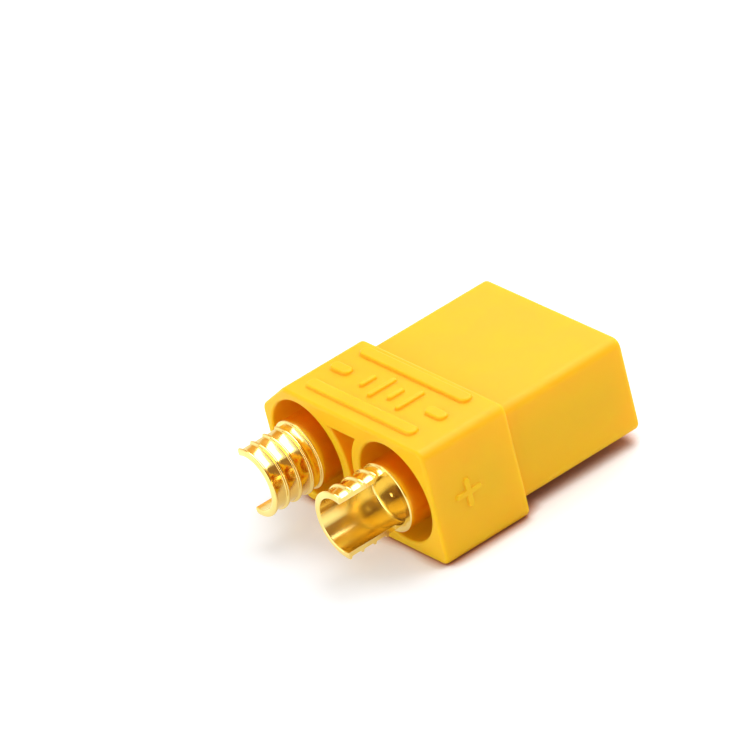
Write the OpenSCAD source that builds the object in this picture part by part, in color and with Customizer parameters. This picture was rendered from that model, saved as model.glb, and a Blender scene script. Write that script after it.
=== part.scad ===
// Plug half of a two-pole battery connector: one moulded housing that holds
// two turned contacts, each with an open wire cup at the back and a plain
// socket at the front.
// Origin: centre of the mating face, between the two contact axes.
// +Y points out of the mating face, +X to the square, positive side, +Z up.

/* [Contacts] */
// Distance between the two contact axes
contact_pitch = 11.1; // [10.6:0.1:12.4]
// Inner diameter of the socket, for the mating pin
socket_d = 4.5; // [4:0.1:5]
// Wall of the socket tube
socket_wall = 0.55; // [0.4:0.05:0.65]
// Depth of the socket from its mouth to the drill's shoulder
socket_depth = 11; // [8:0.5:12]
// How far the socket's mouth sits back from the mating face
socket_recess = 0.5; // [0.2:0.1:1.2]
// Lead-in chamfer in the socket's mouth
mouth_chamfer = 0.25; // [0.1:0.05:0.3]
// How far the barbs of the shank stand out of the tube
barb_h = 0.25; // [0.15:0.05:0.35]
// Length of one barb
barb_len = 1.2; // [0.8:0.1:1.5]
// Number of barbs that hold the shank in the housing
barb_count = 3; // [1:1:4]
// How far the seating collar stands out of the shank
collar_lip = 0.55; // [0.3:0.05:0.7]
// Thickness of the seating collar
collar_t = 0.8; // [0.5:0.1:1.2]

/* [Wire cups] */
// Outer diameter of the cup, over its ridges
cup_d = 5.9; // [5.6:0.1:6.4]
// Inner diameter of the cup, for the wire
wire_d = 4.7; // [4:0.1:4.9]
// How far the cup stands out of the housing's back face
cup_out = 5.5; // [4:0.5:7]
// How far the closed ring of the cup stands out of the back face
ring_out = 0.9; // [0.4:0.1:1.4]
// Depth of the cup's flat floor inside its closed ring
floor_in = 0.6; // [0.4:0.1:2]
// Diameter of the drill mark in the middle of that floor
mark_d = 0.6; // [0.4:0.1:0.8]
// How far the cup's wall reaches past its axis on the open side
cut_past = 0.55; // [0.1:0.05:0.9]
// Turn of the open side towards the underside, in degrees
cut_tilt = 5; // [0:1:12]
// Distance from one ridge to the next
ridge_pitch = 1.2; // [1:0.1:1.5]
// Width of one ridge at its foot
ridge_w = 0.3; // [0.2:0.05:0.5]
// Height of the ridges
ridge_h = 0.2; // [0.1:0.02:0.3]
// Slope of a ridge's flanks, along the cup
ridge_flank = 0.06; // [0.02:0.02:0.08]

/* [Housing] */
// Length of the plug section, which enters the mating half
plug_len = 12; // [11:0.5:15]
// Length of the wider back section
back_len = 8.3; // [7.8:0.1:10]
// Step from the back section in to the plug section, on every side
step_in = 0.9; // [0.4:0.1:1.1]
// Diameter of the wells round the cups
well_d = 8.5; // [8.3:0.1:9.3]
// Depth of the wells from the back face
well_depth = 6.5; // [5:0.5:7]
// Wall above and below the wells
wall_top = 0.8; // [0.6:0.1:1.5]
// Wall beside the wells
wall_side = 0.7; // [0.6:0.1:1.5]
// Wall between the wells and the slanted sides
wall_slant = 0.7; // [0.6:0.1:0.9]
// Angle between the slanted sides and the broad faces
slant_angle = 37.4; // [34:0.2:42]
// Rounding of the long edges
edge_r = 0.8; // [0.3:0.1:1]
// Chamfer round each hole in the mating face
hole_chamfer = 0.35; // [0.1:0.05:0.4]
// Radial clearance round the shank of a contact
shank_gap = 0.03; // [0.02:0.01:0.06]

/* [Pocket between the wells] */
// Wall of the rings that stand round the wells
ring_wall = 1; // [0.8:0.05:1.05]
// Wall above and below the pocket
pocket_wall = 1.65; // [1.2:0.05:2.2]
// Depth of the pocket from the back face
pocket_depth = 6; // [3:0.5:7]

/* [Raised marks] */
// Height of the marks on the broad face
mark_h = 0.28; // [0.1:0.02:0.4]
// Offset of these marks from the middle, towards the positive side
marks_x = 0.95; // [0.5:0.05:1.5]
// Length of the two long bars
bar_len = 13.4; // [10:0.2:14]
// Width of the two long bars
bar_w = 1.1; // [0.6:0.1:1.4]
// Centre line of the back bar, from the back face
bar_from_back = 1.8; // [1:0.1:2.2]
// Centre line of the front bar, from the step
bar_from_step = 1.2; // [0.9:0.1:1.6]
// Length of the two leads of the battery symbol
lead_len = 2.3; // [1.6:0.1:2.6]
// Width of the two leads
lead_w = 1; // [0.5:0.1:1.2]
// Distance between the middles of the leads
lead_spread = 11.9; // [11:0.1:12.4]
// Number of plates of the battery symbol
plate_count = 4; // [2:2:4]
// Distance from one plate to the next
plate_pitch = 1.75; // [1.2:0.05:1.9]
// Width of the plates
plate_w = 0.55; // [0.4:0.05:0.8]
// Length of the long plates
plate_long = 2.8; // [2:0.1:3]
// Length of the short plates
plate_short = 1.6; // [1.2:0.1:1.9]

/* [Polarity marks] */
// Height of the plus and the minus on the narrow sides
sign_h = 0.18; // [0.1:0.02:0.3]
// Length of their arms, from end to end
sign_len = 2.5; // [2:0.1:3]
// Width of their arms
sign_w = 0.5; // [0.3:0.05:0.7]
// Distance from the back face to their middle
sign_from_back = 3.3; // [2.5:0.1:4.5]

/* [Hidden] */
$fn = 96;

total_len = plug_len + back_len;
cut_over = 1;         // how far a cutting solid reaches past the face it opens
mark_root = 0.3;      // how far a raised mark reaches into the wall under it
drill_cone = 31;      // slope of a drilled hole's floor, in degrees

axis_x = contact_pitch / 2;
well_r = well_d / 2;
half_w = axis_x + well_r + wall_side;
half_t = well_r + wall_top;
slant_r = well_r + wall_slant;   // from a contact axis to the slanted side

tube_r = socket_d / 2 + socket_wall;
shank_r = tube_r + barb_h;
collar_r = shank_r + collar_lip;
hole_r = shank_r + shank_gap;
ring_r = well_r + ring_wall;

// Places along Y
mouth_y = -socket_recess;
socket_floor_y = mouth_y - socket_depth;
seat_y = -(total_len - well_depth);
back_y = -total_len;
ring_y = back_y - ring_out;
cup_end_y = back_y - cup_out;
cup_floor_y = ring_y + floor_in;

cup_r = cup_d / 2;
root_r = cup_r - ridge_h;
ridge_count = floor((ring_y - cup_end_y - ridge_w) / ridge_pitch) + 1;

// Corners of the housing's outline, as [x, z], moved in by a distance.
// The side with the slanted corners is the negative one.
function slant_top_x(inset) =
    -axis_x + (cos(slant_angle) * (half_t - inset) - slant_r + inset) / sin(slant_angle);
function slant_side_z(inset) =
    (slant_r - inset - sin(slant_angle) * (half_w - inset - axis_x)) / cos(slant_angle);
function outline(inset) = [
    [half_w - inset, half_t - inset],
    [slant_top_x(inset), half_t - inset],
    [-half_w + inset, slant_side_z(inset)],
    [-half_w + inset, -slant_side_z(inset)],
    [slant_top_x(inset), -half_t + inset],
    [half_w - inset, -half_t + inset]
];

// A convex polygon with its corners rounded by true arcs
function unit(v) = v / norm(v);
function to_next(p, i) = unit(p[(i + 1) % len(p)] - p[i]);
function to_last(p, i) = unit(p[(i + len(p) - 1) % len(p)] - p[i]);
function half_corner(p, i) = acos(to_next(p, i) * to_last(p, i)) / 2;
function arc_centre(p, i, r) =
    p[i] + unit(to_next(p, i) + to_last(p, i)) * r / sin(half_corner(p, i));

module rounded_outline(p, r) {
    reach = [for (i = [0 : len(p) - 1]) r / tan(half_corner(p, i))];
    polygon([
        for (i = [0 : len(p) - 1])
            each [p[i] + to_last(p, i) * reach[i], p[i] + to_next(p, i) * reach[i]]
    ]);
    for (i = [0 : len(p) - 1])
        translate(arc_centre(p, i, r)) circle(r);
}

// Stands a shape drawn in X and Z up along Y, from one place to another
module along_y(from, to) {
    translate([0, max(from, to), 0])
        rotate([90, 0, 0])
            linear_extrude(abs(to - from)) children();
}

module at_each_contact() {
    for (side = [-1, 1])
        translate([side * axis_x, 0, 0]) children();
}

module shell() {
    along_y(0, back_y) rounded_outline(outline(step_in), edge_r);
    along_y(-plug_len, back_y) rounded_outline(outline(0), edge_r);
}

// Well for the cup, hole for the shank and chamfer at the mating face
module contact_hole() {
    rotate([90, 0, 0]) {
        translate([0, 0, -cut_over]) cylinder(r = hole_r, h = total_len);
        translate([0, 0, -seat_y]) cylinder(r = well_r, h = well_depth + cut_over);
        translate([0, 0, -cut_over])
            cylinder(
                r1 = hole_r + hole_chamfer + cut_over,
                r2 = hole_r,
                h = hole_chamfer + cut_over
            );
    }
}

// The waisted space that is left between the rings round the wells
module pocket() {
    along_y(back_y + pocket_depth, back_y - cut_over)
        difference() {
            square([contact_pitch, 2 * (half_t - pocket_wall)], center = true);
            for (side = [-1, 1])
                translate([side * axis_x, 0]) circle(ring_r);
        }
}

// A straight mark with round ends, drawn along X
module stroke(length, width) {
    square([length - width, width], center = true);
    for (end = [-1, 1])
        translate([end * (length - width) / 2, 0]) circle(width / 2);
}

// Puts a drawing on the upper broad face, at a distance from the back face
module on_top(from_back) {
    translate([marks_x, back_y + from_back, half_t - mark_root])
        linear_extrude(mark_h + mark_root) children();
}

module raised_bars() {
    for (place = [bar_from_back, back_len - bar_from_step])
        on_top(place) stroke(bar_len, bar_w);
}

// Two leads and a row of plates, the long plate on the positive side
module battery_symbol() {
    on_top((bar_from_back + back_len - bar_from_step) / 2) {
        for (side = [-1, 1])
            translate([side * lead_spread / 2, 0]) stroke(lead_len, lead_w);
        for (i = [0 : plate_count - 1])
            translate([(i - (plate_count - 1) / 2) * plate_pitch, 0])
                rotate(90) stroke(i % 2 == 0 ? plate_short : plate_long, plate_w);
    }
}

// Plus on the positive side, minus on the negative side
module polarity_signs() {
    for (side = [-1, 1])
        translate([side * (half_w - mark_root), back_y + sign_from_back, 0])
            rotate([90, 0, side * 90])
                linear_extrude(sign_h + mark_root)
                    for (turn = side > 0 ? [0, 90] : [0])
                        rotate(turn) stroke(sign_len, sign_w);
}

module housing() {
    color("#f4bd22")
        difference() {
            union() {
                shell();
                raised_bars();
                battery_symbol();
                polarity_signs();
            }
            at_each_contact() contact_hole();
            pocket();
        }
}

// Half outline of a contact, as [radius, y], from the mouth back to the cup
// and home again through the two drilled holes
function barbs() = [
    for (i = [barb_count - 1 : -1 : 0])
        each [[tube_r, seat_y + (i + 1) * barb_len], [shank_r, seat_y + i * barb_len]]
];
function ridges() = [
    for (i = [ridge_count - 1 : -1 : 0])
        let (
            foot = cup_end_y + i * ridge_pitch + ridge_w,
            end = cup_end_y + i * ridge_pitch
        )
        each [
            [root_r, foot],
            [cup_r, foot - ridge_flank],
            [cup_r, end + ridge_flank],
            [root_r, end]
        ]
];
function drill_tip(r) = r * tan(drill_cone);
function contact_profile() = concat(
    [[tube_r, mouth_y]],
    barbs(),
    [
        [collar_r, seat_y],
        [collar_r, seat_y - collar_t],
        [cup_r, seat_y - collar_t],
        [cup_r, ring_y],
        [root_r, ring_y]
    ],
    ridges(),
    [
        [wire_d / 2, cup_end_y],
        [wire_d / 2, cup_floor_y],
        [mark_d / 2, cup_floor_y],
        [0, cup_floor_y + drill_tip(mark_d / 2)],
        [0, socket_floor_y - drill_tip(socket_d / 2)],
        [socket_d / 2, socket_floor_y],
        [socket_d / 2, mouth_y - mouth_chamfer],
        [socket_d / 2 + mouth_chamfer, mouth_y]
    ]
);

// A turned contact, its cup cut open towards the nearer narrow side
module contact(side) {
    open_len = ring_y - cup_end_y;
    translate([side * axis_x, 0, 0])
        difference() {
            rotate([-90, 0, 0]) rotate_extrude() polygon(contact_profile());
            rotate([0, side * cut_tilt, 0])
                translate([side * (cup_r + cut_past), ring_y - (open_len + cut_over) / 2, 0])
                    cube([2 * cup_r, open_len + cut_over, 2 * cup_r + cut_over], center = true);
        }
}

module positive_contact() {
    color("#e8c15a") contact(1);
}

module negative_contact() {
    color("#d9ad45") contact(-1);
}

housing();
positive_contact();
negative_contact();
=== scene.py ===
"""Looks of the plug half of a two-pole battery connector.

A satin yellow nylon housing with softly rounded edges holds two turned,
gold-plated contacts, whose ridged wire cups stand out at the back.
Everything is drawn in millimetres in the part's own frame and scaled once.
"""

import math

import bmesh
import bpy
from mathutils import Matrix, Vector


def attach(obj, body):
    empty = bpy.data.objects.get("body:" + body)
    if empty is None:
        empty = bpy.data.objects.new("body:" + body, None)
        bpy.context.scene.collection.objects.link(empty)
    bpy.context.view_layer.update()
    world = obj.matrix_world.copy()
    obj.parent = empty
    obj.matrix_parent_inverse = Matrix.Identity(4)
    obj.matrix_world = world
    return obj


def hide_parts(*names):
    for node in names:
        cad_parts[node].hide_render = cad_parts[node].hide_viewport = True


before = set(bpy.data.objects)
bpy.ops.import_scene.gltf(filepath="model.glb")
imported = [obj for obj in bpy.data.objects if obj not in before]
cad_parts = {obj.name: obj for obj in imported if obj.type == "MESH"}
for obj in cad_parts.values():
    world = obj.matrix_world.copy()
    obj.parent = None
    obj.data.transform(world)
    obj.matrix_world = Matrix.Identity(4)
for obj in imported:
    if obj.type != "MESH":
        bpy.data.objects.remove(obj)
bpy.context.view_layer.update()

MM = 0.001

# Contacts
AXIS_X = 5.55
SOCKET_R = 2.25
SOCKET_DEPTH = 11.0
MOUTH_Y = -0.5
MOUTH_CHAMFER = 0.25
TUBE_R = 2.8
SHANK_R = 3.05
BARB_LEN = 1.2
BARB_COUNT = 3
COLLAR_R = 3.6
COLLAR_T = 0.8
CUP_R = 2.95
ROOT_R = 2.75
WIRE_R = 2.35
RIDGE_PITCH = 1.2
RIDGE_W = 0.3
RIDGE_FLANK = 0.06
RIDGE_COUNT = 4
CUT_PAST = 0.55
CUT_TILT = math.radians(5)
DRILL_MARK_R = 0.3
DRILL_SLOPE = math.tan(math.radians(31))

# Places along Y
STEP_Y = -12.0
SEAT_Y = -13.8
BACK_Y = -20.3
CUP_FLOOR_Y = -20.6
RING_Y = -21.2
CUP_END_Y = -25.8

# Housing
HALF_W = 10.5
HALF_T = 5.05
SLANT_R = 4.95
SLANT = math.radians(37.4)
STEP_IN = 0.9
EDGE_R = 0.8
WELL_R = 4.25
HOLE_R = 3.08
HOLE_CHAMFER = 0.35
RING_R = 5.25
POCKET_HALF = 3.4
POCKET_DEPTH = 6.0

# Marks on the top face, and the signs of the poles on the sides
MARKS_X = 0.95
MARK_H = 0.28
BAR_LEN = 13.4
BAR_W = 1.1
BAR_FROM_BACK = 1.8
BAR_FROM_STEP = 1.2
DASH_X = 5.95
DASH_LEN = 2.3
DASH_W = 1.0
PLATE_LENGTHS = (1.6, 2.8, 1.6, 2.8)
PLATE_W = 0.55
PLATE_PITCH = 1.75
SIGN_H = 0.18
SIGN_Y = -17.0
SIGN_LEN = 2.5
SIGN_W = 0.5

# Roundings of the moulding, as radii
RIM_R = 0.3
WELL_MOUTH_R = 0.22
POCKET_MOUTH_R = 0.18
CREST_R = 0.17
FOOT_R = 0.1
SIGN_EDGE_R = 0.08
HOLE_RIM_R = 0.08
STEP_ROOT_R = 0.15
POCKET_CORNER_R = 0.2

# Roundings of the turned contacts
TURNED_R = 0.08
CUP_END_R = 0.1
CUP_FLOOR_R = 0.2
RIDGE_TIP_R = 0.05
RIDGE_ROOT_R = 0.07
DRILL_EDGE_R = 0.04
CUT_EDGE_R = 0.04

# Steps round the circles
TURN_STEPS = 96
POCKET_STEPS = 28
EDGE_STEPS = 7
BAR_STEPS = 24
DASH_STEPS = 20
PLATE_STEPS = 16

# Colours of the two materials, with painted light on the edges and in the recesses
NYLON = (0.995, 0.52, 0.008)
NYLON_DEEP = (0.99, 0.495, 0.005)
# Painted glow: the redder orange of the nylon's rounded edges, for light through the thin nylon
NYLON_PAINTED_EDGE_GLOW = (0.98, 0.46, 0.003)
# Painted bounce light: the redder orange of the nylon in its recesses
NYLON_PAINTED_BOUNCE = (1.0, 0.43, 0.003)
GOLD = (0.96, 0.75, 0.25)
GOLD_DEEP = (0.90, 0.66, 0.18)
# Painted highlight: the pale cream that the gold's rounded edges turn to
GOLD_PAINTED_HIGHLIGHT = (0.98, 0.90, 0.68)

# Their surfaces, as limits of roughness and as metres
NYLON_ROUGH = (0.44, 0.54)
GOLD_ROUGH = (0.12, 0.19)
BORE_ROUGHER = 0.05
# Reach in metres of the painted bounce light in the housing's recesses
PAINTED_BOUNCE_REACH = 0.015
GLOW_RADIUS = (1.0, 0.5, 0.08)
GLOW_SCALE = 0.0024

# Studio
FLOOR = (0.85, 0.865, 0.89)
# Painted shadow on the floor next to the part: its colour and its reach in metres
FLOOR_PAINTED_SHADOW = (0.52, 0.27, 0.16)
PAINTED_SHADOW_REACH = 0.0016
FLOOR_RADIUS = 1500
FLOOR_LIFT = 0.22
ROOM_LEVEL = 0.54
DARK_CARD = (0.5, 0.26, 0.1)
AMBER_CARD = (0.8, 0.42, 0.05)
CAMERA_CARD = (0.18, 0.06, 0.04)
LAMP_AIM = (0, -0.012, 0)

# Camera, as fitted to the photograph: degrees, millimetres and pixels
CAMERA_TURN = (59.039, 29.757, -14.362)
CAMERA_CENTRE = (0, -10, 0)
CAMERA_SHIFT = (-6.0658, 2.5763)
CAMERA_DISTANCE = 640
FOCAL_PIXELS = 8347.9
PHOTO_PIXELS = 750
SENSOR_WIDTH = 36


# Mesh helpers

def link(name, bm):
    """Turns a finished bmesh in millimetres into an object in metres."""
    bmesh.ops.scale(bm, vec=(MM, MM, MM), verts=bm.verts)
    mesh = bpy.data.meshes.new(name)
    bm.to_mesh(mesh)
    bm.free()
    mesh.shade_smooth()
    piece = bpy.data.objects.new(name, mesh)
    bpy.context.scene.collection.objects.link(piece)
    return piece


def edges_within(verts):
    """Edges that have both ends among the given vertices."""
    chosen = set(verts)
    found = []
    for vert in verts:
        for edge in vert.link_edges:
            if edge.other_vert(vert) in chosen and edge not in found:
                found.append(edge)
    return found


def verts_of(edges):
    return list({vert for edge in edges for vert in edge.verts})


def soften(bm, edges, radius):
    """Marks edges for the Bevel modifier, with their own radius."""
    weight = bm.edges.layers.float.get("bevel_weight_edge")
    for edge in edges:
        edge[weight] = radius / RIM_R


def finish_edges(piece, segments, radius=RIM_R):
    """Rounds the marked edges and keeps the large faces flat in shade."""
    bevel = piece.modifiers.new("Soft edges", "BEVEL")
    bevel.limit_method = "WEIGHT"
    bevel.width = radius * MM
    bevel.segments = segments
    bevel.profile = 0.5
    bevel.loop_slide = False
    bevel.use_clamp_overlap = False
    shade = piece.modifiers.new("Flat faces", "WEIGHTED_NORMAL")
    shade.mode = "FACE_AREA"
    shade.weight = 60
    shade.keep_sharp = True


def fill_between(bm, edges, normal):
    """Fills the flat area between a border and the loops that lie inside it."""
    made = bmesh.ops.triangle_fill(bm, use_beauty=True, use_dissolve=False, edges=edges, normal=normal)
    faces = [item for item in made["geom"] if isinstance(item, bmesh.types.BMFace)]
    inner = {edge for face in faces for edge in face.edges} - set(edges)
    bmesh.ops.dissolve_limit(bm, angle_limit=0.001, verts=[], edges=list(inner))


def draw_on(bm, edges, shift):
    """Extrudes a loop of edges by a shift and gives the new loop."""
    made = bmesh.ops.extrude_edge_only(bm, edges=edges)["geom"]
    verts = [item for item in made if isinstance(item, bmesh.types.BMVert)]
    bmesh.ops.translate(bm, vec=shift, verts=verts)
    return edges_within(verts)


# Housing

def outline(inset):
    """Corners of the housing as (x, z), moved in by a distance; -X is slanted."""
    top_x = -AXIS_X + (math.cos(SLANT) * (HALF_T - inset) - SLANT_R + inset) / math.sin(SLANT)
    side_z = (SLANT_R - inset - math.sin(SLANT) * (HALF_W - inset - AXIS_X)) / math.cos(SLANT)
    half = [(HALF_W - inset, HALF_T - inset), (top_x, HALF_T - inset), (-HALF_W + inset, side_z)]
    return half + [(x, -z) for x, z in reversed(half)]


def prism(bm, inset, back, front):
    """One section of the shell, open at both ends, with its long edges rounded."""
    corners = outline(inset)
    verts = [bm.verts.new((x, back, z)) for x, z in corners]
    cap = bm.faces.new(verts)
    made = bmesh.ops.extrude_face_region(bm, geom=[cap], use_keep_orig=True)["geom"]
    far = [item for item in made if isinstance(item, bmesh.types.BMVert)]
    bmesh.ops.translate(bm, vec=(0, front - back, 0), verts=far)
    for i, (x, z) in enumerate(corners):
        here = Vector((x, z))
        to_next = Vector(corners[(i + 1) % 6]) - here
        to_last = Vector(corners[i - 1]) - here
        reach = EDGE_R / math.tan(to_next.angle(to_last) / 2)
        edge = [
            e for e in bm.edges
            if all(abs(v.co.x - x) < 1e-4 and abs(v.co.z - z) < 1e-4 for v in e.verts)
            and {round(v.co.y, 3) for v in e.verts} == {round(back, 3), round(front, 3)}
        ]
        bmesh.ops.bevel(
            bm, geom=edge, offset=reach, offset_type="OFFSET", segments=EDGE_STEPS, profile=0.5,
            affect="EDGES", clamp_overlap=False, material=-1,
        )


def edges_of(faces):
    return list({edge for face in faces for edge in face.edges})


def caps_at(bm, y):
    """Faces that lie flat at one place along Y."""
    return [
        face for face in bm.faces
        if all(abs(vert.co.y - y) < 1e-4 for vert in face.verts)
    ]


def stroke(bm, length, width, place, steps=DASH_STEPS):
    """Closed loop of a straight mark with round ends, drawn along X."""
    turn = Matrix.Rotation(math.pi / steps, 4, "Z")
    ring = bmesh.ops.create_circle(
        bm, cap_ends=False, segments=steps, radius=width / 2, matrix=turn
    )["verts"]
    for end in (-1, 1):
        half = [vert for vert in ring if vert.co.x * end > 0]
        bmesh.ops.translate(bm, vec=(end * (length - width) / 2, 0, 0), verts=half)
    edges = edges_within(ring)
    bmesh.ops.transform(bm, matrix=place, verts=ring)
    return edges


def plus(bm, length, width, place):
    """Closed loop of a plus with round ends."""
    core = bmesh.ops.create_grid(bm, x_segments=1, y_segments=1, size=width / 2)["verts"]
    every = list(core)
    for edge in edges_within(core):
        out = (edge.verts[0].co + edge.verts[1].co).normalized()
        made = bmesh.ops.extrude_edge_only(bm, edges=[edge])["geom"]
        tips = [item for item in made if isinstance(item, bmesh.types.BMVert)]
        bmesh.ops.translate(bm, vec=out * (length - width) / 2, verts=tips)
        rounded = bmesh.ops.bevel(
            bm, geom=tips, offset=width * 0.48, offset_type="OFFSET", segments=5, profile=0.5,
            affect="VERTICES", clamp_overlap=False, material=-1,
        )
        every += rounded["verts"]
    every = [vert for vert in every if vert.is_valid]
    faces = list({face for vert in every for face in vert.link_faces})
    border = [edge for face in faces for edge in face.edges if len(edge.link_faces) == 1]
    inner = [edge for face in faces for edge in face.edges if len(edge.link_faces) == 2]
    bmesh.ops.transform(bm, matrix=place, verts=list({v for f in faces for v in f.verts}))
    bmesh.ops.delete(bm, geom=faces, context="FACES_ONLY")
    bmesh.ops.delete(bm, geom=list(set(inner)), context="EDGES")
    return list(set(border))


def raise_mark(bm, loop, out, height, crest, foot):
    """Stands a mark up from its outline and closes its top."""
    top = draw_on(bm, loop, out * height)
    bmesh.ops.contextual_create(bm, geom=top)
    soften(bm, top, crest)
    soften(bm, loop, foot)


def marked_face(bm, normal, at_y, loops, height, crest):
    """Opens the flat face with this normal around the outlines of its marks."""
    out = Vector(normal)
    face = max(
        (f for f in bm.faces if f.normal.dot(out) > 0.999 and f.calc_center_median().y < at_y),
        key=lambda f: f.calc_area(),
    )
    border = list(face.edges)
    bmesh.ops.delete(bm, geom=[face], context="FACES_ONLY")
    fill_between(bm, border + [edge for loop in loops for edge in loop], out)
    for loop in loops:
        raise_mark(bm, loop, out, height, crest, FOOT_R)


def housing_marks(bm):
    """Two bars and a battery symbol on top, a plus and a minus on the sides."""
    bars_y = (BACK_Y + BAR_FROM_BACK, STEP_Y - BAR_FROM_STEP)
    middle = sum(bars_y) / 2
    top = []
    for y in bars_y:
        place = Matrix.Translation((MARKS_X, y, HALF_T))
        top.append(stroke(bm, BAR_LEN, BAR_W, place, BAR_STEPS))
    for side in (-1, 1):
        place = Matrix.Translation((MARKS_X + side * DASH_X, middle, HALF_T))
        top.append(stroke(bm, DASH_LEN, DASH_W, place))
    for i, length in enumerate(PLATE_LENGTHS):
        across = (i - (len(PLATE_LENGTHS) - 1) / 2) * PLATE_PITCH
        place = Matrix.Translation((MARKS_X + across, middle, HALF_T))
        turned = place @ Matrix.Rotation(math.pi / 2, 4, "Z")
        top.append(stroke(bm, length, PLATE_W, turned, PLATE_STEPS))
    marked_face(bm, (0, 0, 1), STEP_Y, top, MARK_H, CREST_R)
    for side in (-1, 1):
        spot = Matrix.Translation((side * HALF_W, SIGN_Y, 0))
        upright = Matrix.Rotation(math.pi / 2, 4, "Z") @ Matrix.Rotation(math.pi / 2, 4, "X")
        draw = plus if side > 0 else stroke
        sign = draw(bm, SIGN_LEN, SIGN_W, spot @ upright)
        marked_face(bm, (side, 0, 0), STEP_Y, [sign], SIGN_H, SIGN_EDGE_R)


def ring_scaled(bm, edges, side, radius):
    """Brings a ring round a contact's axis to another radius."""
    verts = verts_of(edges)
    centre = Vector((side * AXIS_X, verts[0].co.y, 0))
    now = (verts[0].co - centre).length
    factor = radius / now
    bmesh.ops.scale(bm, vec=(factor, 1, factor), space=Matrix.Translation(-centre), verts=verts)


def contact_hole(bm, side):
    """Well, seat, shank hole and chamfer; gives its rings in the two end faces."""
    flat = Matrix.Translation((side * AXIS_X, BACK_Y, 0)) @ Matrix.Rotation(math.pi / 2, 4, "X")
    ring = bmesh.ops.create_circle(
        bm, cap_ends=False, segments=TURN_STEPS, radius=WELL_R, matrix=flat
    )["verts"]
    mouth = edges_within(ring)
    seat = draw_on(bm, mouth, (0, SEAT_Y - BACK_Y, 0))
    throat = draw_on(bm, seat, (0, 0, 0))
    ring_scaled(bm, throat, side, HOLE_R)
    neck = draw_on(bm, throat, (0, -HOLE_CHAMFER - SEAT_Y, 0))
    exit_ring = draw_on(bm, neck, (0, HOLE_CHAMFER, 0))
    ring_scaled(bm, exit_ring, side, HOLE_R + HOLE_CHAMFER)
    soften(bm, mouth, WELL_MOUTH_R)
    soften(bm, exit_ring, HOLE_RIM_R)
    return mouth, exit_ring


def pocket(bm):
    """Waisted pocket between the rings; gives its mouth in the back face."""
    reach = math.asin(POCKET_HALF / RING_R)
    ends = []
    mouth = []
    for side in (-1, 1):
        start = Vector((side * (AXIS_X - RING_R * math.cos(reach)), BACK_Y, POCKET_HALF))
        seed = bm.verts.new(start)
        made = bmesh.ops.spin(
            bm, geom=[seed], cent=(side * AXIS_X, BACK_Y, 0), axis=(0, 1, 0),
            angle=-side * 2 * reach, steps=POCKET_STEPS, use_merge=False, use_duplicate=False,
        )
        last = [item for item in made["geom_last"] if isinstance(item, bmesh.types.BMVert)][0]
        ends.append((seed, last))
    for one, other in zip(ends[0], ends[1]):
        bm.edges.new((one, other))
    loop = []
    seen = {ends[0][0]}
    todo = [ends[0][0]]
    while todo:
        vert = todo.pop()
        for edge in vert.link_edges:
            if edge not in loop:
                loop.append(edge)
                other = edge.other_vert(vert)
                if other not in seen:
                    seen.add(other)
                    todo.append(other)
    floor = draw_on(bm, loop, (0, POCKET_DEPTH, 0))
    bmesh.ops.contextual_create(bm, geom=floor)
    corners = [vert for pair in ends for vert in pair]
    posts = [e for v in corners for e in v.link_edges if abs(e.verts[0].co.y - e.verts[1].co.y) > 1]
    soften(bm, loop, POCKET_MOUTH_R)
    soften(bm, posts, POCKET_CORNER_R)
    return loop


def build_housing():
    bm = bmesh.new()
    bm.edges.layers.float.new("bevel_weight_edge")
    prism(bm, 0, BACK_Y, STEP_Y)
    back_caps = caps_at(bm, BACK_Y)
    front_caps = caps_at(bm, STEP_Y)
    back_rim = edges_of(back_caps)
    step_rim = edges_of(front_caps)
    bmesh.ops.delete(bm, geom=back_caps + front_caps, context="FACES_ONLY")
    prism(bm, STEP_IN, STEP_Y, 0)
    root_caps = caps_at(bm, STEP_Y)
    mate_caps = caps_at(bm, 0)
    root_rim = edges_of(root_caps)
    mate_rim = edges_of(mate_caps)
    bmesh.ops.delete(bm, geom=root_caps + mate_caps, context="FACES_ONLY")
    bmesh.ops.bridge_loops(bm, edges=step_rim + root_rim)
    bmesh.ops.recalc_face_normals(bm, faces=bm.faces)
    for rim in (back_rim, step_rim, mate_rim):
        soften(bm, rim, RIM_R)
    soften(bm, root_rim, STEP_ROOT_R)
    housing_marks(bm)
    mouths, exits = [], []
    for side in (-1, 1):
        mouth, exit_ring = contact_hole(bm, side)
        mouths += mouth
        exits += exit_ring
    fill_between(bm, back_rim + mouths + pocket(bm), Vector((0, -1, 0)))
    fill_between(bm, mate_rim + exits, Vector((0, 1, 0)))
    bmesh.ops.recalc_face_normals(bm, faces=bm.faces)
    piece = link("housing_moulding", bm)
    finish_edges(piece, 4)
    return piece


# Contacts

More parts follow.
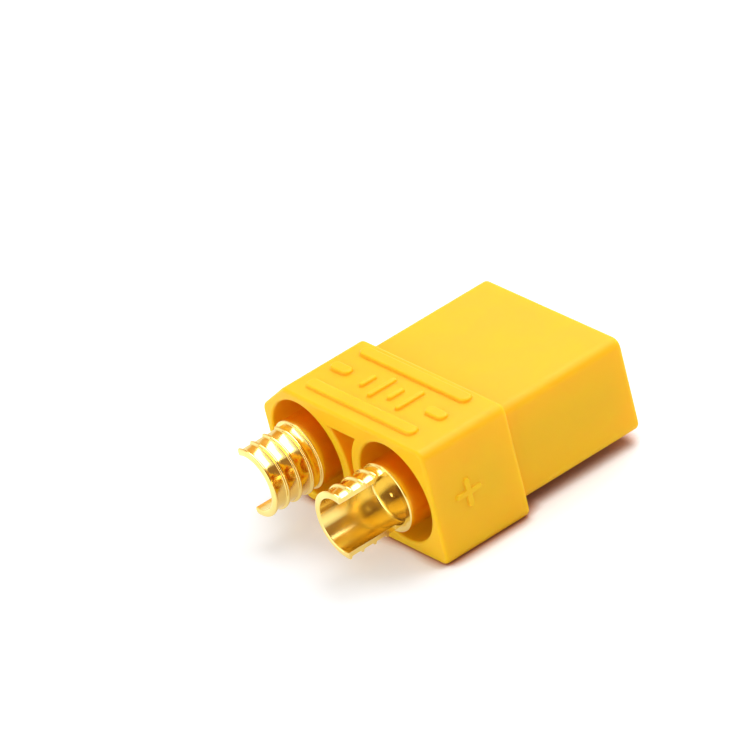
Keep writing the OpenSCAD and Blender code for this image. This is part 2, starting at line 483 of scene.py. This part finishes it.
def contact_profile():
    """Half outline as (radius, y), from the socket's floor round to the cup's."""
    points = [
        (0, MOUTH_Y - SOCKET_DEPTH - SOCKET_R * DRILL_SLOPE),
        (SOCKET_R, MOUTH_Y - SOCKET_DEPTH),
        (SOCKET_R, MOUTH_Y - MOUTH_CHAMFER),
        (SOCKET_R + MOUTH_CHAMFER, MOUTH_Y),
        (TUBE_R, MOUTH_Y),
    ]
    for i in reversed(range(BARB_COUNT)):
        points += [(TUBE_R, SEAT_Y + (i + 1) * BARB_LEN), (SHANK_R, SEAT_Y + i * BARB_LEN)]
    points += [
        (COLLAR_R, SEAT_Y),
        (COLLAR_R, SEAT_Y - COLLAR_T),
        (CUP_R, SEAT_Y - COLLAR_T),
        (CUP_R, RING_Y),
        (ROOT_R, RING_Y),
    ]
    for i in reversed(range(RIDGE_COUNT)):
        end = CUP_END_Y + i * RIDGE_PITCH
        points += [
            (ROOT_R, end + RIDGE_W),
            (CUP_R, end + RIDGE_W - RIDGE_FLANK),
            (CUP_R, end + RIDGE_FLANK),
            (ROOT_R, end),
        ]
    points += [
        (WIRE_R, CUP_END_Y),
        (WIRE_R, RING_Y),
        (WIRE_R, CUP_FLOOR_Y),
        (DRILL_MARK_R, CUP_FLOOR_Y),
        (0, CUP_FLOOR_Y + DRILL_MARK_R * DRILL_SLOPE),
    ]
    return points


def corner_radius(point):
    """Rounding of each corner of the turned outline."""
    r, y = point
    if r == 0 or (r == WIRE_R and y == RING_Y):
        return 0
    if r == CUP_R and y < RING_Y:
        return RIDGE_TIP_R
    if r == ROOT_R and CUP_END_Y < y < RING_Y:
        return RIDGE_ROOT_R
    if r == DRILL_MARK_R:
        return DRILL_EDGE_R
    if r == WIRE_R and y == CUP_FLOOR_Y:
        return CUP_FLOOR_R
    if y in (CUP_END_Y, RING_Y):
        return CUP_END_R
    return TURNED_R


def build_contact(name, side):
    bm = bmesh.new()
    bm.edges.layers.float.new("bevel_weight_edge")
    points = contact_profile()
    verts = [bm.verts.new((side * AXIS_X, y, r)) for r, y in points]
    for one, other in zip(verts, verts[1:]):
        bm.edges.new((one, other))
    for point, vert in zip(points, verts):
        radius = corner_radius(point)
        if radius:
            bmesh.ops.bevel(
                bm, geom=[vert], offset=radius, offset_type="OFFSET", segments=3, profile=0.5,
                affect="VERTICES", clamp_overlap=False, material=-1,
            )
    bmesh.ops.spin(
        bm, geom=bm.verts[:] + bm.edges[:], cent=(side * AXIS_X, 0, 0), axis=(0, 1, 0),
        angle=2 * math.pi, steps=TURN_STEPS, use_merge=True, use_duplicate=False,
    )
    bmesh.ops.remove_doubles(bm, verts=bm.verts, dist=1e-4)
    open_cup(bm, side)
    bmesh.ops.recalc_face_normals(bm, faces=bm.faces)
    piece = link(name, bm)
    finish_edges(piece, 2, CUT_EDGE_R)
    return piece


def open_cup(bm, side):
    """Takes the outer side of the cup away and closes the cut faces."""
    out = Vector((side * math.cos(CUT_TILT), 0, -math.sin(CUT_TILT)))
    cut = Vector((side * AXIS_X, 0, 0)) + out * CUT_PAST
    cup = [face for face in bm.faces if face.calc_center_median().y < RING_Y - 1e-4]
    bmesh.ops.bisect_plane(
        bm, geom=cup + list({e for f in cup for e in f.edges}), dist=1e-5,
        plane_co=cut, plane_no=out,
    )
    gone = []
    for face in bm.faces:
        centre = face.calc_center_median()
        if centre.y < RING_Y - 1e-4 and (centre - cut).dot(out) > 1e-5:
            gone.append(face)
    bmesh.ops.delete(bm, geom=gone, context="FACES")
    border = [edge for edge in bm.edges if len(edge.link_faces) == 1]
    arcs = [edge for edge in border if all(abs(v.co.y - RING_Y) < 1e-4 for v in edge.verts)]
    ends = [v for v in verts_of(arcs) if abs((v.co - cut).dot(out)) < 1e-4]
    for half in (-1, 1):
        pair = [v for v in ends if v.co.z * half > 0]
        arcs.append(bm.edges.new(pair))
    bmesh.ops.contextual_create(bm, geom=arcs)
    border = [edge for edge in bm.edges if len(edge.link_faces) == 1]
    cuts = bmesh.ops.holes_fill(bm, edges=border, sides=0)["faces"]
    rim = {edge for face in cuts for edge in face.edges}
    soften(bm, list(rim | set(arcs)), CUT_EDGE_R)


# Shared node groups

def add_node(tree, kind, **values):
    """Adds a node and sets its inputs, or its settings where it has no such input."""
    node = tree.nodes.new(kind)
    for label, value in values.items():
        socket = node.inputs.get(label.replace("_", " ").title())
        if socket:
            socket.default_value = value
        else:
            setattr(node, label, value)
    return node


def new_group(name, inputs, outputs):
    group = bpy.data.node_groups.new(name, "ShaderNodeTree")
    for label, kind, value in inputs:
        socket = group.interface.new_socket(label, in_out="INPUT", socket_type=kind)
        if value is not None:
            socket.default_value = value
    for label, kind in outputs:
        group.interface.new_socket(label, in_out="OUTPUT", socket_type=kind)
    return group, group.nodes.new("NodeGroupInput"), group.nodes.new("NodeGroupOutput")


def place_group(tree, group, **values):
    node = tree.nodes.new("ShaderNodeGroup")
    node.node_tree = group
    for label, value in values.items():
        node.inputs[label.replace("_", " ").title()].default_value = value
    return node


def edge_mask_group():
    """Mask of the outer edges, from the normal that a bevel would give, for painted edge light."""
    group, entry, leave = new_group(
        "Painted edge light",
        [("Radius", "NodeSocketFloat", 0.0003), ("Contrast", "NodeSocketFloat", 4.0)],
        [("Mask", "NodeSocketFloat")],
    )
    bevel = add_node(group, "ShaderNodeBevel", samples=6)
    facing = add_node(group, "ShaderNodeNewGeometry")
    dot = add_node(group, "ShaderNodeVectorMath", operation="DOT_PRODUCT")
    fall = add_node(group, "ShaderNodeMath", operation="SUBTRACT")
    fall.inputs[0].default_value = 1
    gain = add_node(group, "ShaderNodeMath", operation="MULTIPLY", use_clamp=True)
    link_up = group.links.new
    link_up(entry.outputs["Radius"], bevel.inputs["Radius"])
    link_up(bevel.outputs["Normal"], dot.inputs[0])
    link_up(facing.outputs["Normal"], dot.inputs[1])
    link_up(dot.outputs["Value"], fall.inputs[1])
    link_up(fall.outputs["Value"], gain.inputs[0])
    link_up(entry.outputs["Contrast"], gain.inputs[1])
    link_up(gain.outputs["Value"], leave.inputs["Mask"])
    return group


def surface_grain_group():
    """Fine grain as a height, and slow clouds for colour and roughness."""
    group, entry, leave = new_group(
        "Surface grain",
        [
            ("Vector", "NodeSocketVector", None),
            ("Grain Scale", "NodeSocketFloat", 6000.0),
            ("Cloud Scale", "NodeSocketFloat", 250.0),
        ],
        [("Height", "NodeSocketFloat"), ("Cloud", "NodeSocketFloat")],
    )
    grain = add_node(group, "ShaderNodeTexNoise", detail=3.0, roughness=0.6)
    cloud = add_node(group, "ShaderNodeTexNoise", detail=2.0, roughness=0.5)
    link_up = group.links.new
    for node, scale in ((grain, "Grain Scale"), (cloud, "Cloud Scale")):
        link_up(entry.outputs["Vector"], node.inputs["Vector"])
        link_up(entry.outputs[scale], node.inputs["Scale"])
    link_up(grain.outputs["Fac"], leave.inputs["Height"])
    link_up(cloud.outputs["Fac"], leave.inputs["Cloud"])
    return group


# Materials

def new_material(name):
    material = bpy.data.materials.new(name)
    material.use_nodes = True
    shader = material.node_tree.nodes["Principled BSDF"]
    return material, material.node_tree, shader


def ranged(tree, source, low, high, from_low=0.35, from_high=0.65):
    """A value that runs between two limits as the source changes."""
    node = add_node(tree, "ShaderNodeMapRange")
    node.inputs["From Min"].default_value = from_low
    node.inputs["From Max"].default_value = from_high
    node.inputs["To Min"].default_value = low
    node.inputs["To Max"].default_value = high
    tree.links.new(source, node.inputs["Value"])
    return node.outputs["Result"]


def mixed(tree, factor, one, other):
    """A colour between two others, each a value or the output of a node."""
    node = add_node(tree, "ShaderNodeMix", data_type="RGBA")
    tree.links.new(factor, node.inputs["Factor"])
    for key, value in ((6, one), (7, other)):
        if isinstance(value, bpy.types.NodeSocket):
            tree.links.new(value, node.inputs[key])
        else:
            node.inputs[key].default_value = (*value, 1)
    return node.outputs[2]


def yellow_nylon(grain, edges):
    material, tree, shader = new_material("yellow_nylon")
    coords = add_node(tree, "ShaderNodeTexCoord")
    texture = place_group(tree, grain, grain_scale=5200.0, cloud_scale=230.0)
    tree.links.new(coords.outputs["Object"], texture.inputs["Vector"])
    edge_light = place_group(tree, edges, radius=0.00035, contrast=5.0)
    body = mixed(tree, ranged(tree, texture.outputs["Cloud"], 0, 1), NYLON_DEEP, NYLON)
    # Painted bounce light: recesses, found by ambient occlusion, turn a redder orange
    near = add_node(tree, "ShaderNodeAmbientOcclusion", samples=8, only_local=True)
    near.inputs["Distance"].default_value = PAINTED_BOUNCE_REACH
    open_body = ranged(tree, near.outputs["AO"], 0, 1, 0.45, 0.9)
    body = mixed(tree, open_body, NYLON_PAINTED_BOUNCE, body)
    # Painted glow: the rounded edges turn a redder orange, for light through the thin nylon there
    colour = mixed(tree, ranged(tree, edge_light.outputs["Mask"], 0, 0.35, 0, 1), body, NYLON_PAINTED_EDGE_GLOW)
    tree.links.new(colour, shader.inputs["Base Color"])
    rough = ranged(tree, texture.outputs["Cloud"], *NYLON_ROUGH)
    tree.links.new(rough, shader.inputs["Roughness"])
    bump = add_node(tree, "ShaderNodeBump", strength=0.35, distance=0.00001)
    tree.links.new(texture.outputs["Height"], bump.inputs["Height"])
    tree.links.new(bump.outputs["Normal"], shader.inputs["Normal"])
    shader.inputs["IOR"].default_value = 1.5
    shader.inputs["Specular IOR Level"].default_value = 0.22
    shader.inputs["Subsurface Weight"].default_value = 0.65
    shader.inputs["Subsurface Radius"].default_value = GLOW_RADIUS
    shader.inputs["Subsurface Scale"].default_value = GLOW_SCALE
    return material


def bore_mask(tree, place):
    """1 on the drilled walls inside a contact, from the distance to its axis."""
    parts = add_node(tree, "ShaderNodeSeparateXYZ")
    tree.links.new(place, parts.inputs["Vector"])
    across = add_node(tree, "ShaderNodeMath", operation="ABSOLUTE")
    tree.links.new(parts.outputs["X"], across.inputs[0])
    aside = add_node(tree, "ShaderNodeMath", operation="SUBTRACT")
    aside.inputs[1].default_value = AXIS_X * MM
    tree.links.new(across.outputs["Value"], aside.inputs[0])
    flat = add_node(tree, "ShaderNodeCombineXYZ")
    tree.links.new(aside.outputs["Value"], flat.inputs["X"])
    tree.links.new(parts.outputs["Z"], flat.inputs["Z"])
    radius = add_node(tree, "ShaderNodeVectorMath", operation="LENGTH")
    tree.links.new(flat.outputs["Vector"], radius.inputs[0])
    inside = add_node(tree, "ShaderNodeMath", operation="LESS_THAN")
    inside.inputs[1].default_value = (WIRE_R + 0.02) * MM
    tree.links.new(radius.outputs["Value"], inside.inputs[0])
    return inside.outputs["Value"]


def gold_plating(grain, edges):
    material, tree, shader = new_material("gold_plating")
    coords = add_node(tree, "ShaderNodeTexCoord")
    texture = place_group(tree, grain, grain_scale=2600.0, cloud_scale=420.0)
    tree.links.new(coords.outputs["Object"], texture.inputs["Vector"])
    edge_light = place_group(tree, edges, radius=0.00012, contrast=4.0)
    body = mixed(tree, ranged(tree, texture.outputs["Cloud"], 0, 1), GOLD_DEEP, GOLD)
    # Painted highlight: the rounded edges turn pale cream, as if they caught the lamps
    colour = mixed(tree, ranged(tree, edge_light.outputs["Mask"], 0, 0.5, 0, 1), body, GOLD_PAINTED_HIGHLIGHT)
    tree.links.new(colour, shader.inputs["Base Color"])
    drilled = add_node(tree, "ShaderNodeMath", operation="MULTIPLY_ADD")
    drilled.inputs[1].default_value = BORE_ROUGHER
    tree.links.new(bore_mask(tree, coords.outputs["Object"]), drilled.inputs[0])
    tree.links.new(ranged(tree, texture.outputs["Cloud"], *GOLD_ROUGH), drilled.inputs[2])
    tree.links.new(drilled.outputs["Value"], shader.inputs["Roughness"])
    rings = add_node(tree, "ShaderNodeTexWave", bands_direction="Y", wave_profile="SIN")
    rings.inputs["Scale"].default_value = 1600.0
    rings.inputs["Distortion"].default_value = 1.5
    tree.links.new(coords.outputs["Object"], rings.inputs["Vector"])
    both = add_node(tree, "ShaderNodeMath", operation="MULTIPLY_ADD")
    both.inputs[1].default_value = 0.35
    tree.links.new(rings.outputs["Fac"], both.inputs[0])
    tree.links.new(texture.outputs["Height"], both.inputs[2])
    bump = add_node(tree, "ShaderNodeBump", strength=0.25, distance=0.000008)
    tree.links.new(both.outputs["Value"], bump.inputs["Height"])
    tree.links.new(bump.outputs["Normal"], shader.inputs["Normal"])
    shader.inputs["Metallic"].default_value = 1
    return material


# Studio

def aim(azimuth, elevation, distance, centre):
    """Place and turn of something that looks at a point from an angle."""
    a, e = math.radians(azimuth), math.radians(elevation)
    away = Vector((math.cos(e) * math.cos(a), math.cos(e) * math.sin(a), math.sin(e)))
    place = Matrix.Translation(centre + away * distance)
    return place @ away.to_track_quat("Z", "Y").to_matrix().to_4x4()


def soft_lamp(name, azimuth, elevation, distance, size, level):
    """White softbox whose brightness is given as the level of its own face."""
    lamp = bpy.data.lights.new(name, "AREA")
    lamp.shape = "RECTANGLE"
    lamp.size, lamp.size_y = size
    lamp.energy = level * math.pi * size[0] * size[1]
    holder = bpy.data.objects.new(name, lamp)
    holder.matrix_world = aim(azimuth, elevation, distance, Vector(LAMP_AIM))
    bpy.context.scene.collection.objects.link(holder)


def looking_rays(tree):
    """1 where the camera, a mirror or glass looks at the surface, else 0."""
    path = add_node(tree, "ShaderNodeLightPath")
    seen = path.outputs["Is Camera Ray"]
    for label in ("Is Glossy Ray", "Is Transmission Ray"):
        either = add_node(tree, "ShaderNodeMath", operation="MAXIMUM")
        tree.links.new(seen, either.inputs[0])
        tree.links.new(path.outputs[label], either.inputs[1])
        seen = either.outputs["Value"]
    return seen


def studio_world():
    """White where it is looked at, and a softer level for the light it gives."""
    world = bpy.data.worlds.new("Studio")
    bpy.context.scene.world = world
    world.use_nodes = True
    tree = world.node_tree
    tree.nodes.clear()
    leave = add_node(tree, "ShaderNodeOutputWorld")
    seen = add_node(tree, "ShaderNodeBackground", color=(1, 1, 1, 1), strength=1.0)
    room = add_node(tree, "ShaderNodeBackground", color=(1, 1, 1, 1), strength=ROOM_LEVEL)
    either = add_node(tree, "ShaderNodeMixShader")
    tree.links.new(looking_rays(tree), either.inputs["Fac"])
    tree.links.new(room.outputs["Background"], either.inputs[1])
    tree.links.new(seen.outputs["Background"], either.inputs[2])
    tree.links.new(either.outputs["Shader"], leave.inputs["Surface"])


def card(name, azimuth, elevation, distance, size, centre, colour):
    """Coloured card beside the set, which only shows where something mirrors it."""
    bm = bmesh.new()
    bmesh.ops.create_grid(bm, x_segments=1, y_segments=1, size=0.5)
    bmesh.ops.scale(bm, vec=(*size, 1), verts=bm.verts)
    bmesh.ops.transform(
        bm, matrix=aim(azimuth, elevation, distance, Vector(centre)), verts=bm.verts
    )
    piece = link(name, bm)
    piece.visible_camera = False
    piece.visible_diffuse = False
    piece.visible_shadow = False
    material, tree, shader = new_material(name)
    shader.inputs["Base Color"].default_value = (*colour, 1)
    shader.inputs["Roughness"].default_value = 0.8
    piece.data.materials.append(material)


def white_floor():
    """White floor with a painted warm, narrow shadow where something stands close to it."""
    bm = bmesh.new()
    bmesh.ops.create_circle(bm, cap_ends=True, segments=64, radius=FLOOR_RADIUS)
    bmesh.ops.translate(bm, vec=(0, 0, -HALF_T), verts=bm.verts)
    floor = link("floor", bm)
    material, tree, shader = new_material("white_floor")
    # Painted shadow: near the part the floor darkens to warm brown and loses its lift
    near = add_node(tree, "ShaderNodeAmbientOcclusion", samples=8)
    near.inputs["Distance"].default_value = PAINTED_SHADOW_REACH
    bare = ranged(tree, near.outputs["AO"], 0, 1, 0.45, 0.85)
    tree.links.new(mixed(tree, bare, FLOOR_PAINTED_SHADOW, FLOOR), shader.inputs["Base Color"])
    shader.inputs["Roughness"].default_value = 0.6
    shader.inputs["Specular IOR Level"].default_value = 0.1
    lift = add_node(tree, "ShaderNodeMath", operation="MULTIPLY")
    open_lift = ranged(tree, near.outputs["AO"], 0, FLOOR_LIFT, 0.45, 0.85)
    tree.links.new(open_lift, lift.inputs[1])
    tree.links.new(looking_rays(tree), lift.inputs[0])
    shader.inputs["Emission Color"].default_value = (1, 1, 1, 1)
    tree.links.new(lift.outputs["Value"], shader.inputs["Emission Strength"])
    floor.data.materials.append(material)


def photo_camera():
    """Camera at the photograph's angle, from a fit of the model to it."""
    azimuth, elevation, roll = (math.radians(v) for v in CAMERA_TURN)
    ahead = Vector((
        -math.sin(azimuth) * math.cos(elevation),
        math.cos(azimuth) * math.cos(elevation),
        -math.sin(elevation),
    ))
    level = Vector((math.cos(azimuth), math.sin(azimuth), 0))
    rise = level.cross(ahead)
    right = level * math.cos(roll) + rise * math.sin(roll)
    up = rise * math.cos(roll) - level * math.sin(roll)
    place = Vector(CAMERA_CENTRE) - ahead * CAMERA_DISTANCE
    place += right * CAMERA_SHIFT[0] + up * CAMERA_SHIFT[1]
    camera = bpy.data.cameras.new("Camera")
    camera.sensor_width = SENSOR_WIDTH
    camera.lens = FOCAL_PIXELS / PHOTO_PIXELS * SENSOR_WIDTH
    camera.clip_start = 0.01
    camera.clip_end = 10
    holder = bpy.data.objects.new("Camera", camera)
    turned = Matrix((right, up, -ahead)).transposed().to_4x4()
    holder.matrix_world = Matrix.Translation(place * MM) @ turned
    bpy.context.scene.collection.objects.link(holder)
    bpy.context.scene.camera = holder


# The scene

for leftover in ("Cube", "Light", "Camera"):
    if leftover in bpy.data.objects:
        bpy.data.objects.remove(bpy.data.objects[leftover])

grain = surface_grain_group()
edges = edge_mask_group()

housing = build_housing()
housing.data.materials.append(yellow_nylon(grain, edges))
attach(housing, "root")
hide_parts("housing")

gold = gold_plating(grain, edges)
for node, side in (("positive_contact", 1), ("negative_contact", -1)):
    contact = build_contact(node + "_turned", side)
    contact.data.materials.append(gold)
    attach(contact, "root")
    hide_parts(node)

studio_world()
white_floor()
photo_camera()
card(
    "dark_card", azimuth=6, elevation=28, distance=900, size=(1300, 620),
    centre=(0, BACK_Y, 0), colour=DARK_CARD,
)
card(
    "amber_card", azimuth=155, elevation=32, distance=30, size=(22, 16),
    centre=(0, -21, 3), colour=AMBER_CARD,
)
card(
    "camera_card", azimuth=-62, elevation=38, distance=880, size=(1250, 1000),
    centre=(0, BACK_Y, 0), colour=CAMERA_CARD,
)
soft_lamp("Key softbox", azimuth=97, elevation=58, distance=0.5, size=(0.68, 0.24), level=5.0)
soft_lamp("Front fill", azimuth=-95, elevation=16, distance=0.5, size=(0.7, 0.3), level=2.0)

bpy.context.scene.view_settings.view_transform = "Standard"
